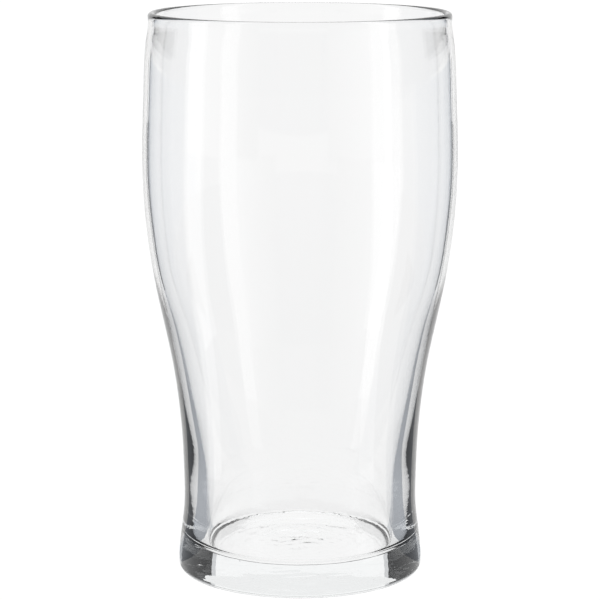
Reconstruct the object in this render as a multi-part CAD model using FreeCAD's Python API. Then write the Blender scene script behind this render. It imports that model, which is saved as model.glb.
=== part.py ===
import FreeCAD, Part
import math
import os

# Pint glass: a waisted, round-bellied beer glass, pressed and blown as one piece of clear
# soda-lime glass. Nothing on it is fitted, glued or moving, so it is one solid in one node.
# The outline is drawn in the XZ plane and turned about Z.
# Millimetres, +Z up. The origin is the centre of the base, on the surface the glass stands on.

V = FreeCAD.Vector

# Overall
HEIGHT = 152.0

# Foot: the thick ring that the glass stands on, and the shallow hollow under it
FOOT_RADIUS = 33.3
FOOT_CORNER = 1.7
FOOT_SIDE_TOP = 5.0
FOOT_SIDE_RADIUS = 33.2
STANDING_RING_INNER = 26.5
HOLLOW_DEPTH = 0.2

# Floor of the drink, with a round corner up into the wall
FLOOR_HEIGHT = 7.2
FLOOR_CORNER = 2.6
FLOOR_WALL_RADIUS = 26.0

# Wall: height, outer radius, and how thick the glass is there
WALL_STATIONS = (
    (18.0, 31.8, 5.8),
    (27.0, 31.8, 5.2),
    (37.0, 32.2, 4.25),
    (47.0, 33.1, 3.5),
    (58.0, 34.7, 2.95),
    (68.0, 36.75, 2.5),
    (78.0, 38.85, 2.05),
    (90.0, 40.8, 1.95),
    (104.0, 42.05, 1.95),
    (118.0, 42.2, 1.95),
    (132.0, 41.7, 1.95),
    (146.0, 40.7, 1.95),
)

# Rim: the lip is melted round, so it is a little fuller than the wall under it
RIM_RADIUS = 40.4
RIM_BEAD = 1.0
RIM_NECK_HEIGHT = 149.2
RIM_NECK_RADIUS = 40.32
RIM_NECK_WALL = 1.95

UP = V(0, 0, 1)
DOWN = V(0, 0, -1)


def on_outline(radius, height):
    return V(radius, 0, height)


def smooth_curve(points, start_direction, end_direction):
    """A curve through points. It is measured by the length along it, so it can't fold between them."""
    lengths = [0.0]
    for before, after in zip(points, points[1:]):
        lengths.append(lengths[-1] + after.distanceToPoint(before))
    curve = Part.BSplineCurve()
    curve.interpolate(Points=points, Parameters=lengths, InitialTangent=start_direction,
                      FinalTangent=end_direction, Scale=False)
    return curve


def hollow_arc():
    """The shallow dome under the foot, level where it crosses the axis."""
    dome_radius = (STANDING_RING_INNER ** 2 + HOLLOW_DEPTH ** 2) / (2 * HOLLOW_DEPTH)
    half_turn = math.asin(STANDING_RING_INNER / dome_radius) / 2
    middle = on_outline(dome_radius * math.sin(half_turn),
                        HOLLOW_DEPTH - dome_radius * (1 - math.cos(half_turn)))
    return Part.Arc(on_outline(0, HOLLOW_DEPTH), middle, on_outline(STANDING_RING_INNER, 0))


def foot_corner_arc():
    """A quarter turn from the standing ring up to the side of the foot."""
    centre = on_outline(FOOT_RADIUS - FOOT_CORNER, FOOT_CORNER)
    diagonal = FOOT_CORNER * math.sqrt(0.5)
    return Part.Arc(centre + V(0, 0, -FOOT_CORNER),
                    centre + V(diagonal, 0, -diagonal),
                    centre + V(FOOT_CORNER, 0, 0))


def rim_arc():
    """Half a turn over the lip, from its outside to its inside."""
    centre = on_outline(RIM_RADIUS - RIM_BEAD, HEIGHT - RIM_BEAD)
    return Part.Arc(centre + V(RIM_BEAD, 0, 0), centre + V(0, 0, RIM_BEAD), centre - V(RIM_BEAD, 0, 0))


def floor_corner_arc():
    """A quarter turn from the inside of the wall down to the floor of the drink."""
    centre = on_outline(FLOOR_WALL_RADIUS - FLOOR_CORNER, FLOOR_HEIGHT + FLOOR_CORNER)
    diagonal = FLOOR_CORNER * math.sqrt(0.5)
    return Part.Arc(centre + V(FLOOR_CORNER, 0, 0),
                    centre + V(diagonal, 0, -diagonal),
                    centre + V(0, 0, -FLOOR_CORNER))


def outer_curve(start, end):
    points = [start, on_outline(FOOT_SIDE_RADIUS, FOOT_SIDE_TOP)]
    points += [on_outline(radius, height) for height, radius, wall in WALL_STATIONS]
    points += [on_outline(RIM_NECK_RADIUS, RIM_NECK_HEIGHT), end]
    return smooth_curve(points, UP, UP)


def inner_curve(start, end):
    points = [start, on_outline(RIM_NECK_RADIUS - RIM_NECK_WALL, RIM_NECK_HEIGHT)]
    points += [on_outline(radius - wall, height) for height, radius, wall in reversed(WALL_STATIONS)]
    points += [end]
    return smooth_curve(points, DOWN, DOWN)


def glass_body():
    hollow = hollow_arc().toShape()
    corner = foot_corner_arc().toShape()
    lip = rim_arc().toShape()
    ring_inner = on_outline(STANDING_RING_INNER, 0)
    ring_outer = on_outline(FOOT_RADIUS - FOOT_CORNER, 0)
    foot_side = on_outline(FOOT_RADIUS, FOOT_CORNER)
    lip_outside = on_outline(RIM_RADIUS, HEIGHT - RIM_BEAD)
    lip_inside = on_outline(RIM_RADIUS - 2 * RIM_BEAD, HEIGHT - RIM_BEAD)
    wall_foot = on_outline(FLOOR_WALL_RADIUS, FLOOR_HEIGHT + FLOOR_CORNER)
    floor_edge = on_outline(FLOOR_WALL_RADIUS - FLOOR_CORNER, FLOOR_HEIGHT)
    floor_centre = on_outline(0, FLOOR_HEIGHT)
    hollow_centre = on_outline(0, HOLLOW_DEPTH)
    edges = [
        hollow,
        Part.makeLine(ring_inner, ring_outer),
        corner,
        outer_curve(foot_side, lip_outside).toShape(),
        lip,
        inner_curve(lip_inside, wall_foot).toShape(),
        floor_corner_arc().toShape(),
        Part.makeLine(floor_edge, floor_centre),
        Part.makeLine(floor_centre, hollow_centre),
    ]
    outline = Part.Wire(edges)
    return Part.Face(outline).revolve(V(0, 0, 0), UP, 360)


os.makedirs("parts", exist_ok=True)
body = glass_body()
body.exportStep("parts/glass_body.step")
print("valid", body.isValid(), "solids", len(body.Solids), "volume ml", round(body.Volume / 1000, 1))
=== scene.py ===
import math

import bmesh
import bpy
import numpy as np
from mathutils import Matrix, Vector


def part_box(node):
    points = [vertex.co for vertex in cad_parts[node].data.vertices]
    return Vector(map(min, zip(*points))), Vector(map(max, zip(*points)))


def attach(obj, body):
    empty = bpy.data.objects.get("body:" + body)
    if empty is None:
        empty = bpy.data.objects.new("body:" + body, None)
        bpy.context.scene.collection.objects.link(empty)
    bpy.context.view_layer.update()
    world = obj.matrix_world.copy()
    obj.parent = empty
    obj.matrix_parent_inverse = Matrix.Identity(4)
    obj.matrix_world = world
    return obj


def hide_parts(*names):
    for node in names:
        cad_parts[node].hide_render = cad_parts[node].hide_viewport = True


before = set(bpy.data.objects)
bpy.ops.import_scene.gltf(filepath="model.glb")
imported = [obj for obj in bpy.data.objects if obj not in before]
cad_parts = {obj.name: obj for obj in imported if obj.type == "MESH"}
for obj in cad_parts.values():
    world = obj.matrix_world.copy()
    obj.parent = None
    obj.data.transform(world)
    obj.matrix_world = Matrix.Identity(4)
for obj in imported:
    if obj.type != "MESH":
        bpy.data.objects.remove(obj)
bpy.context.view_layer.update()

# ---------------------------------------------------------------------------------------------
# Sizes, in millimetres as in the CAD outline; MM turns them into the scene's metres.
# ---------------------------------------------------------------------------------------------
MM = 0.001
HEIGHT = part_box("glass_body")[1].z / MM

FOOT_RADIUS = 33.3
FOOT_CORNER = 1.7
FOOT_SIDE = (33.2, 5.0)
STANDING_RING_INNER = 26.5
HOLLOW_DEPTH = 0.2

FLOOR_HEIGHT = 7.2
FLOOR_CORNER = 2.6
FLOOR_WALL_RADIUS = 26.0

# The same stations as the CAD outline. The outer radii and the lower thicknesses are fitted and
# rounded, and the upper thickness is judged.
WALL_STATIONS = (
    # height, outer radius, thickness of the glass
    (18.0, 31.8, 5.8),
    (27.0, 31.8, 5.2),
    (37.0, 32.2, 4.25),
    (47.0, 33.1, 3.5),
    (58.0, 34.7, 2.95),
    (68.0, 36.75, 2.5),
    (78.0, 38.85, 2.05),
    (90.0, 40.8, 1.95),
    (104.0, 42.05, 1.95),
    (118.0, 42.2, 1.95),
    (132.0, 41.7, 1.95),
    (146.0, 40.7, 1.95),
)

RIM_RADIUS = 40.4
RIM_BEAD = 1.0
RIM_NECK = (40.32, 149.2)
RIM_NECK_WALL = 1.95

# Steps round the glass, and points along each run of the outline
SEGMENTS = 256
UNDER_COUNT = 62
RING_COUNT = 8
CORNER_COUNT = 10
WALL_COUNT = 105
LIP_COUNT = 17
TURN_COUNT = 12
FLOOR_COUNT = 62
# How much closer together the points are near the middle of the underside and of the floor
UNDER_CROWDING = 1.4
FLOOR_CROWDING = 1.2

# Relief of the pressed surfaces: heights, radii, and how softly each patch ends
UNDER_WAVE_HEIGHT = 0.009
UNDER_RELIEF_RADIUS = STANDING_RING_INNER - 4.0
UNDER_RELIEF_EDGE = 0.8
SCAR_HEIGHT = 0.09
SCAR_RADIUS = 9.0
SCAR_UNEVENNESS = 0.5
SCAR_SQUASH = 1.6
DISC_HEIGHT = 0.06
DISC_RADIUS = 11.0
DISC_EDGE = 0.6
FLOOR_RINGS = (
    # radius, half width, height
    (20.6, 0.7, 0.04),
    (18.2, 0.9, 0.06),
    (14.5, 1.2, 0.05),
    (10.5, 1.0, 0.05),
    (7.0, 0.9, 0.05),
)
RING_WANDER = 0.6
RING_WANDER_STRETCH = 0.3
SWIRL_HEIGHT = 0.025
SWIRL_RADIUS = 7.0
SWIRL_WINDING = 3.1
SWIRL_ARMS = 2
FLOOR_WAVE_HEIGHT = 0.01
FLOOR_RELIEF_RADIUS = 21.5
FLOOR_RELIEF_EDGE = 0.5

# Seeds, the tiny bubbles in the foot: their number, and the range of each size and place
SEED_PATTERN = 21
SEED_COUNT = 44
SEED_DISTANCE = (21.0, 30.5)
SEED_HEIGHT = (1.6, 6.4)
SEED_RADIUS = (0.04, 0.09)

# Glass: index, colour kept in the mass, and how strongly the mass colours per metre
GLASS_IOR = 1.52
GLASS_TINT = (0.35, 0.55, 0.6)
GLASS_DENSITY = 0.9
# Slow waves of the whole wall, and fine level lines low on it. Each has a noise scale, its detail and
# how the coordinates are scaled on each axis, and then a height in metres.
WALL_WAVES = (45.0, 1.0, (1, 1, 0.35))
WALL_WAVE_HEIGHT = 0.00003
PRESS_LINES = (90.0, 2.0, (1, 1, 9))
PRESS_LINE_HEIGHT = 0.00001
# Heights in metres between which the lines fade out
PRESS_LINE_FADE = (0.012, 0.055)


# ---------------------------------------------------------------------------------------------
# Outline
# ---------------------------------------------------------------------------------------------
def smooth_curve(points, start_direction, end_direction, count):
    """count points on the cubic spline through points, with the given directions at its ends."""
    p = np.array(points, float)
    step = np.linalg.norm(np.diff(p, axis=0), axis=1)
    n = len(p)
    a = np.zeros((n, n))
    b = np.zeros((n, 2))
    a[0, 0] = a[-1, -1] = 1
    b[0], b[-1] = start_direction, end_direction
    for i in range(1, n - 1):
        h0, h1 = step[i - 1], step[i]
        a[i, i - 1 : i + 2] = h1, 2 * (h0 + h1), h0
        b[i] = 3 * (h1 * (p[i] - p[i - 1]) / h0 + h0 * (p[i + 1] - p[i]) / h1)
    slope = np.linalg.solve(a, b)
    knots = np.concatenate([[0], np.cumsum(step)])
    s = np.linspace(0, knots[-1], count)
    k = np.clip(np.searchsorted(knots, s, side="right") - 1, 0, n - 2)
    h = step[k][:, None]
    t = ((s - knots[k])[:, None]) / h
    return (
        (2 * t**3 - 3 * t**2 + 1) * p[k]
        + (t**3 - 2 * t**2 + t) * h * slope[k]
        + (3 * t**2 - 2 * t**3) * p[k + 1]
        + (t**3 - t**2) * h * slope[k + 1]
    )


def arc(centre, radius, start_degrees, end_degrees, count):
    """count points on an arc, as (radius, height) rows."""
    a = np.radians(np.linspace(start_degrees, end_degrees, count))
    return np.stack([centre[0] + radius * np.cos(a), centre[1] + radius * np.sin(a)], axis=1)


def spread(high, count, crowding):
    """count numbers from 0 to high, closer together near 0."""
    return high * np.linspace(0, 1, count) ** crowding


def outline():
    """The glass's outline as (radius, height) rows, from the middle underneath to that of the floor."""
    dome = (STANDING_RING_INNER**2 + HOLLOW_DEPTH**2) / (2 * HOLLOW_DEPTH)
    r = spread(STANDING_RING_INNER, UNDER_COUNT, UNDER_CROWDING)
    hollow = np.stack([r, HOLLOW_DEPTH - dome + np.sqrt(dome**2 - r**2)], axis=1)
    corner_centre = (FOOT_RADIUS - FOOT_CORNER, FOOT_CORNER)
    ring = np.linspace((STANDING_RING_INNER, 0), (corner_centre[0], 0), RING_COUNT)
    corner = arc(corner_centre, FOOT_CORNER, -90, 0, CORNER_COUNT)
    outside = [(FOOT_RADIUS, FOOT_CORNER), FOOT_SIDE]
    outside += [(r, z) for z, r, wall in WALL_STATIONS]
    outside += [RIM_NECK, (RIM_RADIUS, HEIGHT - RIM_BEAD)]
    outer = smooth_curve(outside, (0, 1), (0, 1), WALL_COUNT)
    lip = arc((RIM_RADIUS - RIM_BEAD, HEIGHT - RIM_BEAD), RIM_BEAD, 0, 180, LIP_COUNT)
    inside = [(RIM_RADIUS - 2 * RIM_BEAD, HEIGHT - RIM_BEAD)]
    inside += [(RIM_NECK[0] - RIM_NECK_WALL, RIM_NECK[1])]
    inside += [(r - wall, z) for z, r, wall in reversed(WALL_STATIONS)]
    inside += [(FLOOR_WALL_RADIUS, FLOOR_HEIGHT + FLOOR_CORNER)]
    inner = smooth_curve(inside, (0, -1), (0, -1), WALL_COUNT)
    floor_edge = FLOOR_WALL_RADIUS - FLOOR_CORNER
    turn = arc((floor_edge, FLOOR_HEIGHT + FLOOR_CORNER), FLOOR_CORNER, 0, -90, TURN_COUNT)
    r = spread(floor_edge, FLOOR_COUNT, FLOOR_CROWDING)[::-1]
    floor = np.stack([r, np.full(len(r), FLOOR_HEIGHT)], axis=1)
    runs = [hollow, ring[1:], corner[1:], outer[1:], lip[1:], inner[1:], turn[1:], floor[1:]]
    return np.concatenate(runs)


# ---------------------------------------------------------------------------------------------
# Relief
# ---------------------------------------------------------------------------------------------
class Waves:
    """Soft irregular unevenness made of a few crossing waves, in a fixed pattern about 1 high."""

    def __init__(self, seed, wavelength, count=9):
        source = np.random.RandomState(seed)
        turn = source.uniform(0, 2 * math.pi, count)
        size = 2 * math.pi / (wavelength * source.uniform(0.7, 1.6, count))
        self.kx, self.ky = size * np.cos(turn), size * np.sin(turn)
        self.phase = source.uniform(0, 2 * math.pi, count)

    def at(self, x, y):
        total = sum(
            np.sin(kx * x + ky * y + p) for kx, ky, p in zip(self.kx, self.ky, self.phase)
        )
        return total / math.sqrt(len(self.phase))


def bump(distance, half_width):
    """1 at distance 0, falling smoothly to 0."""
    return np.exp(-((distance / half_width) ** 2))


def within(distance, limit, softness):
    """1 inside a limit, 0 outside it, and a soft step between."""
    return 1 / (1 + np.exp((distance - limit) / softness))


UNDER_WAVES = Waves(3, 9.0)
SCAR_WAVES = Waves(5, 6.5)
FLOOR_WAVES = Waves(8, 11.0)
RING_WAVES = Waves(11, 4.0)


def under_relief(x, y):
    """Height added to the underside: shallow waves, a low disc, and a scar in the middle."""
    r = np.hypot(x, y)
    waves = UNDER_WAVE_HEIGHT * UNDER_WAVES.at(x, y)
    uneven = 1 + SCAR_UNEVENNESS * SCAR_WAVES.at(x, y * SCAR_SQUASH)
    scar = SCAR_HEIGHT * uneven * bump(r, SCAR_RADIUS) ** 2
    disc = DISC_HEIGHT * within(r, DISC_RADIUS, DISC_EDGE)
    return (waves + scar + disc) * within(r, UNDER_RELIEF_RADIUS, UNDER_RELIEF_EDGE)


def floor_relief(x, y):
    """Height added to the floor of the drink: rings round a small swirl in the middle."""
    r = np.hypot(x, y)
    turn = np.arctan2(y, x)
    wander = r + RING_WANDER * RING_WAVES.at(x * RING_WANDER_STRETCH, y * RING_WANDER_STRETCH)
    rings = sum(height * bump(wander - at, width) for at, width, height in FLOOR_RINGS)
    spiral = np.sin(SWIRL_WINDING * wander + SWIRL_ARMS * turn)
    swirl = SWIRL_HEIGHT * spiral * bump(r, SWIRL_RADIUS)
    waves = FLOOR_WAVE_HEIGHT * FLOOR_WAVES.at(x, y)
    return (rings + swirl + waves) * within(r, FLOOR_RELIEF_RADIUS, FLOOR_RELIEF_EDGE)


# ---------------------------------------------------------------------------------------------
# Mesh
# ---------------------------------------------------------------------------------------------
def seeds():
    """Tiny air bubbles in the foot, as (centre, radius) in millimetres."""
    source = np.random.RandomState(SEED_PATTERN)
    found = []
    for _ in range(SEED_COUNT):
        turn = source.uniform(0, 2 * math.pi)
        out = source.uniform(*SEED_DISTANCE)
        up = source.uniform(*SEED_HEIGHT)
        size = source.uniform(*SEED_RADIUS)
        found.append(((out * math.cos(turn), out * math.sin(turn), up), size))
    return found


def add_seeds(piece):
    """Bubbles are holes in the glass, so their faces look inwards."""
    shape = bmesh.new()
    shape.from_mesh(piece.data)
    for centre, radius in seeds():
        ball = bmesh.ops.create_icosphere(shape, subdivisions=2, radius=radius * MM)
        bmesh.ops.translate(shape, verts=ball["verts"], vec=Vector(centre) * MM)
        faces = list({face for vert in ball["verts"] for face in vert.link_faces})
        bmesh.ops.reverse_faces(shape, faces=faces)
        for face in faces:
            face.smooth = True
    shape.to_mesh(piece.data)
    shape.free()


def turned(name, profile):
    """A closed solid made by turning a profile about Z. Its first and last points are on the axis."""
    angles = np.linspace(0, 2 * math.pi, SEGMENTS, endpoint=False)
    radius, height = profile[1:-1, 0:1], profile[1:-1, 1:2]
    x = radius * np.cos(angles)
    y = radius * np.sin(angles)
    z = np.repeat(height, SEGMENTS, axis=1)
    index = np.arange(len(radius))[:, None]
    z = z + np.where(index < UNDER_COUNT - 1, under_relief(x, y), 0)
    z = z + np.where(index > len(radius) - FLOOR_COUNT, floor_relief(x, y), 0)
    points = np.stack([x, y, z], axis=2).reshape(-1, 3)
    first = len(points)
    middle = np.zeros(1)
    ends = [
        (0, 0, profile[0, 1] + under_relief(middle, middle)[0]),
        (0, 0, profile[-1, 1] + floor_relief(middle, middle)[0]),
    ]
    points = np.concatenate([points, ends]) * MM
    here = np.arange(SEGMENTS)
    beside = (here + 1) % SEGMENTS
    faces = []
    for row in range(len(radius) - 1):
        low, high = row * SEGMENTS, (row + 1) * SEGMENTS
        faces += np.stack([low + here, low + beside, high + beside, high + here], axis=1).tolist()
    top = (len(radius) - 1) * SEGMENTS
    faces += np.stack([np.full(SEGMENTS, first), beside, here], axis=1).tolist()
    faces += np.stack([np.full(SEGMENTS, first + 1), top + here, top + beside], axis=1).tolist()
    mesh = bpy.data.meshes.new(name)
    mesh.from_pydata(points.tolist(), [], faces)
    mesh.shade_smooth()
    piece = bpy.data.objects.new(name, mesh)
    bpy.context.scene.collection.objects.link(piece)
    return piece


# ---------------------------------------------------------------------------------------------
# Material
# ---------------------------------------------------------------------------------------------
def pattern(tree, place, scale, detail, stretch):
    """A noise pattern over the glass, stretched or squashed along it."""
    mapping = tree.nodes.new("ShaderNodeMapping")
    mapping.inputs["Scale"].default_value = stretch
    noise = tree.nodes.new("ShaderNodeTexNoise")
    noise.inputs["Scale"].default_value = scale
    noise.inputs["Detail"].default_value = detail
    tree.links.new(place.outputs["Object"], mapping.inputs["Vector"])
    tree.links.new(mapping.outputs["Vector"], noise.inputs["Vector"])
    return noise.outputs[0]


def clear_glass():
    """Soda-lime glass: smooth, faintly cool in the mass, with the slow waves of a blown wall."""
    material = bpy.data.materials.new("clear_glass")
    material.use_nodes = True
    tree = material.node_tree
    link = tree.links.new
    shader = tree.nodes["Principled BSDF"]
    shader.inputs["Base Color"].default_value = (1, 1, 1, 1)
    shader.inputs["Roughness"].default_value = 0.0
    shader.inputs["IOR"].default_value = GLASS_IOR
    shader.inputs["Transmission Weight"].default_value = 1.0
    mass = tree.nodes.new("ShaderNodeVolumeAbsorption")
    mass.inputs["Color"].default_value = (*GLASS_TINT, 1)
    mass.inputs["Density"].default_value = GLASS_DENSITY
    link(mass.outputs["Volume"], tree.nodes["Material Output"].inputs["Volume"])

    place = tree.nodes.new("ShaderNodeTexCoord")
    waves = pattern(tree, place, *WALL_WAVES)
    lines = pattern(tree, place, *PRESS_LINES)
    parts = tree.nodes.new("ShaderNodeSeparateXYZ")
    link(place.outputs["Object"], parts.inputs[0])
    low = tree.nodes.new("ShaderNodeMapRange")
    low.interpolation_type = "SMOOTHSTEP"
    low.inputs["From Min"].default_value = PRESS_LINE_FADE[0]
    low.inputs["From Max"].default_value = PRESS_LINE_FADE[1]
    low.inputs["To Min"].default_value = 1.0
    low.inputs["To Max"].default_value = 0.0
    link(parts.outputs["Z"], low.inputs["Value"])
    wavy = tree.nodes.new("ShaderNodeBump")
    wavy.inputs["Strength"].default_value = 1.0
    wavy.inputs["Distance"].default_value = WALL_WAVE_HEIGHT
    link(waves, wavy.inputs["Height"])
    lined = tree.nodes.new("ShaderNodeBump")
    lined.inputs["Distance"].default_value = PRESS_LINE_HEIGHT
    link(low.outputs[0], lined.inputs["Strength"])
    link(lines, lined.inputs["Height"])
    link(wavy.outputs["Normal"], lined.inputs["Normal"])
    link(lined.outputs["Normal"], shader.inputs["Normal"])
    return material


# ---------------------------------------------------------------------------------------------
# Camera
# ---------------------------------------------------------------------------------------------
CAMERA_DISTANCE = 648.5
CAMERA_HEIGHT = 195.3
CAMERA_PITCH = 10.58
CAMERA_LENS = 146.0
CAMERA_SENSOR = 36.0
CAMERA_NEAREST = 0.01


def make_camera():
    data = bpy.data.cameras.new("camera")
    data.lens = CAMERA_LENS
    data.sensor_width = CAMERA_SENSOR
    data.clip_start = CAMERA_NEAREST
    camera = bpy.data.objects.new("camera", data)
    camera.location = (0, -CAMERA_DISTANCE * MM, CAMERA_HEIGHT * MM)
    camera.rotation_euler = (math.radians(90 - CAMERA_PITCH), 0, 0)
    bpy.context.scene.collection.objects.link(camera)
    bpy.context.scene.camera = camera
    return camera


# ---------------------------------------------------------------------------------------------
# Studio, in metres and degrees. Its angles and brightnesses were fitted, rounded and then
# changed.
# ---------------------------------------------------------------------------------------------
COOL = (0.92, 0.965, 1.03)
WHITE = (1.0, 1.0, 1.0)
BLACK = 0.03
CAMERA_WHITE = 1.05

FLOOR_EDGE = 3.0
FLOOR_DEPTH = 0.0002
FLOOR_GREY = 0.84
SHEET_STEPS = 24

# How far the sheets on the floor lie under the glass, from the lowest to the highest
BACK_CARD_DEPTH = 0.00015
CARD_DEPTH = 0.0001
SHADE_LINE_DEPTH = 0.00005
# The card under the foot reaches from just off the axis to just past the foot
UNDER_CARD = (0.0005, 0.034)

# Walls round the glass, each with its colour and distance. Each row is an elevation, two azimuths
# and the brightness at each; azimuth 0 is straight behind the glass and grows to the right.
WALLS = (
    ("backdrop", WHITE, 1.3, ((-1, -32, 32, 0.95, 0.95), (60, -32, 32, 1.0, 1.0))),
    ("flag_left", COOL, 1.3, ((6.5, -34.5, -74, 0.02, 0.04), (25.5, -34.5, -74, 0.02, 0.04))),
    ("flag_right", COOL, 1.3, ((6.5, 34.5, 74, 0.02, 0.04), (25.5, 34.5, 74, 0.02, 0.04))),
    ("flag_top_left", COOL, 1.2, ((28, -33, -80, 0.55, 0.6), (38, -33, -80, 0.65, 0.7))),
    ("flag_top_right", COOL, 1.2, ((28, 33, 95, 0.55, 0.5), (38, 33, 95, 0.65, 0.65))),
    ("softbox_left", WHITE, 1.3, ((0, -90, -106, 1.75, 1.75), (50, -90, -106, 1.75, 1.75))),
    ("softbox_left_fade", WHITE, 1.3, ((0, -106, -150, 1.15, 0.65), (50, -106, -150, 1.15, 0.8))),
    ("softbox_right", WHITE, 1.3, ((0, 112, 127, 1.6, 1.5), (50, 112, 127, 1.6, 1.5))),
    ("softbox_right_fade", WHITE, 1.3, ((0, 127, 160, 1.15, 0.65), (50, 127, 160, 1.15, 0.8))),
)
# Cards on the floor, each with its depth: white ones under and behind the glass, and under each softbox
# a strip of painted light where its light falls on the floor. The rows are as above, with the distance
# from the axis in place of the elevation.
CARDS = (
    (
        "under_card",
        CARD_DEPTH,
        ((UNDER_CARD[0], -180, 180, 0.93, 0.93), (UNDER_CARD[1], -180, 180, 0.93, 0.93)),
    ),
    (
        "back_card",
        BACK_CARD_DEPTH,
        (
            (UNDER_CARD[1], -90, 90, 0.92, 0.92),
            (0.8, -90, 90, 0.95, 0.95),
            (FLOOR_EDGE, -90, 90, 0.97, 0.97),
        ),
    ),
    # Painted light: the floor under the left softbox, brighter where its light falls.
    (
        "softbox_floor_light_left",
        CARD_DEPTH,
        ((0.12, -90, -106, 1.5, 1.5), (FLOOR_EDGE, -90, -106, 1.7, 1.7)),
    ),
    # Painted light: the floor under the right softbox, brighter where its light falls.
    (
        "softbox_floor_light_right",
        CARD_DEPTH,
        ((0.12, 112, 127, 1.5, 1.4), (FLOOR_EDGE, 112, 127, 1.6, 1.5)),
    ),
)
# Painted shade on the floor at the sides, where the flags stand: distance, azimuth of its inner edge,
# brightness inside and outside
SHADED_FLOOR = (
    (0.036, 66, 0.62, 0.40),
    (0.08, 57, 0.48, 0.45),
    (0.14, 47, 0.38, 0.50),
    (0.25, 41, 0.46, 0.62),
    (0.5, 35, 0.60, 0.68),
    (0.8, 31, 0.62, 0.70),
    (FLOOR_EDGE, 29, 0.62, 0.70),
)
SHADED_FLOOR_END = 88
# Painted shade: a black line along that edge: distance, azimuth of its inner edge, width in degrees
SHADE_LINE = (
    (0.25, 41, 3),
    (0.5, 35, 4),
    (0.8, 31, 4),
    (FLOOR_EDGE, 29, 4),
)

# The room beyond the walls: the height of the view direction, and the colour there
ROOM_LOW = (0.3, (0.56, 0.565, 0.575, 1))
ROOM_MIDDLE = (0.6, (0.75, 0.75, 0.75, 1))
ROOM_TOP = (1.0, (1, 1, 1, 1))
ROOM_STRENGTH = 1.1


def emitter(name, colour_attribute=None):
    """A glowing surface. Rays meet it by chance and are never aimed at it, as they are at a lamp."""
    material = bpy.data.materials.new(name)
    material.use_nodes = True
    tree = material.node_tree
    tree.nodes.clear()
    emission = tree.nodes.new("ShaderNodeEmission")
    output = tree.nodes.new("ShaderNodeOutputMaterial")
    tree.links.new(emission.outputs["Emission"], output.inputs["Surface"])
    material.cycles.emission_sampling = "NONE"
    if colour_attribute:
        colour = tree.nodes.new("ShaderNodeAttribute")
        colour.attribute_name = colour_attribute
        tree.links.new(colour.outputs["Color"], emission.inputs["Color"])
    return material


def sheet(name, rig, rows, colour):
    """A studio piece round the glass, which only the glass sees: it shows in reflections and
    refractions, and not behind them. Each row is (distance, height, azimuths, brightnesses)."""
    share = [i / SHEET_STEPS for i in range(SHEET_STEPS + 1)]
    points, levels, faces = [], [], []
    for distance, height, azimuths, ends in rows:
        for t in share:
            turn = math.radians(azimuths[0] + (azimuths[1] - azimuths[0]) * t)
            points.append((distance * math.sin(turn), distance * math.cos(turn), height))
            levels.append(ends[0] + (ends[1] - ends[0]) * t)
    for row in range(len(rows) - 1):
        low, high = row * len(share), (row + 1) * len(share)
        faces += [(low + i, low + i + 1, high + i + 1, high + i) for i in range(SHEET_STEPS)]
    mesh = bpy.data.meshes.new(name)
    mesh.from_pydata(points, [], faces)
    glow = mesh.color_attributes.new("glow", "FLOAT_COLOR", "POINT")
    for i, level in enumerate(levels):
        glow.data[i].color = (level * colour[0], level * colour[1], level * colour[2], 1)
    mesh.materials.append(emitter(name, "glow"))
    piece = bpy.data.objects.new(name, mesh)
    bpy.context.scene.collection.objects.link(piece)
    piece.parent = rig
    piece.visible_camera = False
    piece.visible_diffuse = False
    piece.visible_shadow = False


def make_studio(camera):
    """Walls and cards stand round the glass and keep their side to the camera, as when a glass is
    turned on a turntable in front of a fixed camera."""
    rig = bpy.data.objects.new("light_rig", None)
    bpy.context.scene.collection.objects.link(rig)
    facing = rig.constraints.new("LOCKED_TRACK")
    facing.target = camera
    facing.track_axis = "TRACK_NEGATIVE_Y"
    facing.lock_axis = "LOCK_Z"
    for name, colour, distance, rows in WALLS:
        wall = [
            (distance, distance * math.tan(math.radians(e)), (a, b), (first, last))
            for e, a, b, first, last in rows
        ]
        sheet(name, rig, wall, colour)
    for name, depth, rows in CARDS:
        card = [(r, -depth, (a, b), (first, last)) for r, a, b, first, last in rows]
        sheet(name, rig, card, WHITE)
    # Painted shade: sheets that make the floor darker at the sides, where the flags stand.
    for side, name in ((-1, "shaded_floor_left"), (1, "shaded_floor_right")):
        rows = [
            (r, -CARD_DEPTH, (side * a, side * SHADED_FLOOR_END), (first, last))
            for r, a, first, last in SHADED_FLOOR
        ]
        sheet(name, rig, rows, COOL)
    # Painted shade: a black line along the inner edge of the shaded floor.
    for side, name in ((-1, "shade_line_left"), (1, "shade_line_right")):
        rows = [
            (r, -SHADE_LINE_DEPTH, (side * a, side * (a + width)), (BLACK, BLACK))
            for r, a, width in SHADE_LINE
        ]
        sheet(name, rig, rows, COOL)


def camera_or_glass(tree, to_camera, to_glass, output):
    """Show one shader to the camera and the other to everything the glass reflects and refracts."""
    path = tree.nodes.new("ShaderNodeLightPath")
    mix = tree.nodes.new("ShaderNodeMixShader")
    tree.links.new(path.outputs["Is Camera Ray"], mix.inputs[0])
    tree.links.new(to_glass.outputs[0], mix.inputs[1])
    tree.links.new(to_camera.outputs[0], mix.inputs[2])
    tree.links.new(mix.outputs[0], output.inputs["Surface"])


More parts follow.
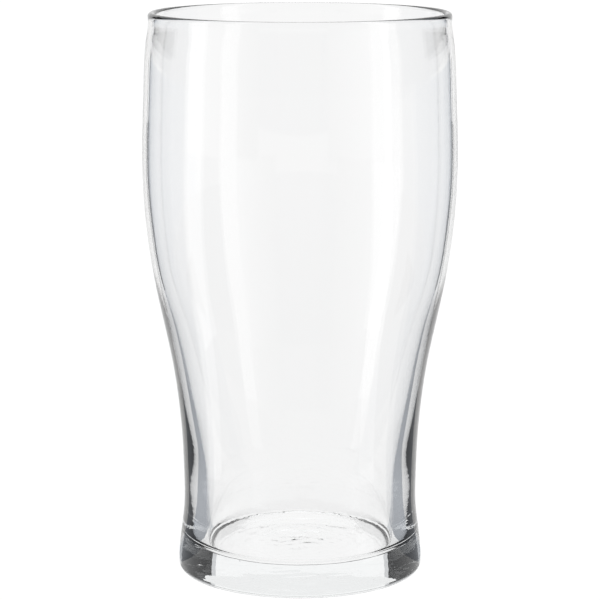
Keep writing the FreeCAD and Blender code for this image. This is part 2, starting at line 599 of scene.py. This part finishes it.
def make_floor():
    """A floor that glows, so it takes no shadow: white to the camera, and darker to the glass."""
    mesh = bpy.data.meshes.new("floor")
    edge = FLOOR_EDGE
    corners = [(-edge, -edge, 0), (edge, -edge, 0), (edge, edge, 0), (-edge, edge, 0)]
    mesh.from_pydata(corners, [], [(0, 1, 2, 3)])
    material = emitter("light_table")
    tree = material.node_tree
    glow = tree.nodes["Emission"]
    glow.inputs["Color"].default_value = (FLOOR_GREY, FLOOR_GREY, FLOOR_GREY, 1)
    white = tree.nodes.new("ShaderNodeEmission")
    white.inputs["Strength"].default_value = CAMERA_WHITE
    camera_or_glass(tree, white, glow, tree.nodes["Material Output"])
    mesh.materials.append(material)
    floor = bpy.data.objects.new("floor", mesh)
    floor.location.z = -FLOOR_DEPTH
    bpy.context.scene.collection.objects.link(floor)


def make_world():
    """The room: white to the camera, and to the glass grey at its own level and white overhead."""
    world = bpy.data.worlds.new("studio")
    world.use_nodes = True
    tree = world.node_tree
    room = tree.nodes["Background"]
    coordinates = tree.nodes.new("ShaderNodeTexCoord")
    parts = tree.nodes.new("ShaderNodeSeparateXYZ")
    ramp = tree.nodes.new("ShaderNodeValToRGB")
    stops = ramp.color_ramp.elements
    stops[0].position, stops[0].color = ROOM_LOW
    stops[1].position, stops[1].color = ROOM_TOP
    stops.new(ROOM_MIDDLE[0]).color = ROOM_MIDDLE[1]
    room.inputs["Strength"].default_value = ROOM_STRENGTH
    tree.links.new(coordinates.outputs["Generated"], parts.inputs[0])
    tree.links.new(parts.outputs["Z"], ramp.inputs[0])
    tree.links.new(ramp.outputs["Color"], room.inputs["Color"])
    white = tree.nodes.new("ShaderNodeBackground")
    white.inputs["Color"].default_value = (1, 1, 1, 1)
    white.inputs["Strength"].default_value = CAMERA_WHITE
    camera_or_glass(tree, white, room, tree.nodes["World Output"])
    world.cycles.sampling_method = "NONE"
    bpy.context.scene.world = world
    bpy.context.scene.view_settings.view_transform = "Standard"


glass = turned("pint_glass", outline())
add_seeds(glass)
glass.data.materials.append(clear_glass())
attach(glass, "root")
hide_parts("glass_body")
make_studio(make_camera())
make_floor()
make_world()
